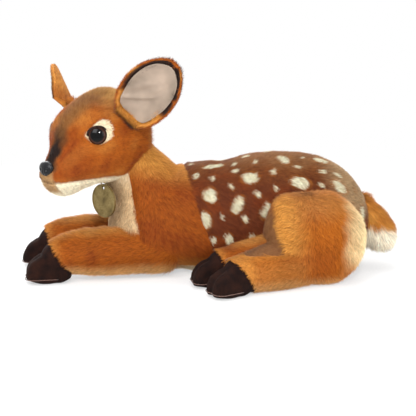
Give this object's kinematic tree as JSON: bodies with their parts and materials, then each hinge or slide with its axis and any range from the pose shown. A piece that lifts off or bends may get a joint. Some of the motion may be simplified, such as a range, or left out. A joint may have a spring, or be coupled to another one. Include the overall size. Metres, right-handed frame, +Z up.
{
  "type": "plush fawn",
  "caption": "Stuffed toy fawn lying with its head turned to one side, spotted saddle, stitched hooves, turning head, folding ears, lifting tail and forelegs, and a plain round medallion that swings.",
  "frame": {"origin": "middle of the flat patch of belly that it rests on", "axes": "+Z up, -X towards the front (the chest and hooves), -Y towards the toy's left side"},
  "size_m": [0.4075, 0.2107, 0.2323],
  "materials": {
    "tan_plush": "short pile",
    "chestnut_plush": "short pile, spotted",
    "cream_plush": "short pile",
    "fawn_plush": "short pile",
    "gusset_cloth": "clipped pile",
    "hoof_suede": "suede cloth",
    "ear_satin": "satin",
    "fibre_fill": "loose fibre",
    "pouch_calico": "woven",
    "eye_button": "polished",
    "nose_button": "polished",
    "washer_plastic": "moulded",
    "antique_brass": "antiqued",
    "loop_cord": "twisted thread"
  },
  "bodies": {
    "body": {"saddle_skin": "chestnut_plush", "shoulder_skin": "tan_plush", "throat_panel": "fawn_plush", "belly_panel": "cream_plush", "pellet_pouch": "pouch_calico", "body_stuffing": "fibre_fill", "hind_leg_left_skin": "tan_plush", "thigh_gusset": "gusset_cloth", "hind_hoof_left": "hoof_suede", "hind_leg_left_stuffing": "fibre_fill", "hind_leg_right_skin": "tan_plush", "hind_hoof_right": "hoof_suede", "hind_leg_right_stuffing": "fibre_fill", "haunch_right_skin": "tan_plush", "haunch_right_stuffing": "fibre_fill", "throat_loop": "loop_cord"},
    "head": {"head_skin": "tan_plush", "jaw_panel": "cream_plush", "head_stuffing": "fibre_fill", "eye_patch_left": "cream_plush", "eye_patch_right": "cream_plush", "eye_left": "eye_button", "eye_right": "eye_button", "eye_washer_left": "washer_plastic", "eye_washer_right": "washer_plastic", "nose": "nose_button", "nose_washer": "washer_plastic"},
    "ear_left": {"ear_left": "tan_plush", "ear_lining_left": "ear_satin"},
    "ear_right": {"ear_right": "tan_plush", "ear_lining_right": "ear_satin"},
    "tail": {"tail_top": "tan_plush", "tail_underside": "cream_plush", "tail_stuffing": "fibre_fill"},
    "front_leg_left": {"front_leg_left_skin": "tan_plush", "front_hoof_left": "hoof_suede", "front_leg_left_stuffing": "fibre_fill"},
    "front_leg_right": {"front_leg_right_skin": "tan_plush", "front_hoof_right": "hoof_suede", "front_leg_right_stuffing": "fibre_fill"},
    "ring": {"jump_ring": "antique_brass"},
    "medal": {"medallion": "antique_brass"}
  },
  "joints": [
    {"name": "head_turn", "type": "hinge", "parent": "body", "child": "head", "pos_m": [-0.12391, -0.00561, 0.12325], "axis": [-0.5321, -0.0748, 0.8434], "range_deg": [-20, 20], "stiffness_Nm_per_rad": 1.2},
    {"name": "ear_left_fold", "type": "hinge", "parent": "head", "child": "ear_left", "pos_m": [-0.12114, -0.04619, 0.17254], "axis": [0.7187, -0.1061, -0.6872], "range_deg": [-25, 25], "stiffness_Nm_per_rad": 0.05},
    {"name": "ear_right_fold", "type": "hinge", "parent": "head", "child": "ear_right", "pos_m": [-0.17665, 0.01333, 0.17254], "axis": [-0.2049, -0.4779, 0.8542], "range_deg": [-25, 20], "stiffness_Nm_per_rad": 0.05},
    {"name": "tail_lift", "type": "hinge", "parent": "body", "child": "tail", "pos_m": [0.128, 0, 0.077], "axis": [0, -1, 0], "range_deg": [0, 40], "stiffness_Nm_per_rad": 0.1},
    {"name": "front_leg_left_lift", "type": "hinge", "parent": "body", "child": "front_leg_left", "pos_m": [-0.09621, -0.0289, 0.0305], "axis": [-0.0593, 0.9982, 0], "range_deg": [0, 10], "stiffness_Nm_per_rad": 0.8},
    {"name": "front_leg_right_lift", "type": "hinge", "parent": "body", "child": "front_leg_right", "pos_m": [-0.10521, 0.0289, 0.0305], "axis": [0.0593, 0.9982, 0], "range_deg": [0, 10], "stiffness_Nm_per_rad": 0.8},
    {"name": "ring_swing", "type": "hinge", "parent": "body", "child": "ring", "pos_m": [-0.1465, -0.031, 0.104], "axis": [-0.6691, 0.7431, 0], "range_deg": [-8, 15]},
    {"name": "medal_swing", "type": "hinge", "parent": "ring", "child": "medal", "pos_m": [-0.1465, -0.031, 0.09905], "axis": [-0.7431, -0.6691, 0], "range_deg": [-20, 20]}
  ]
}
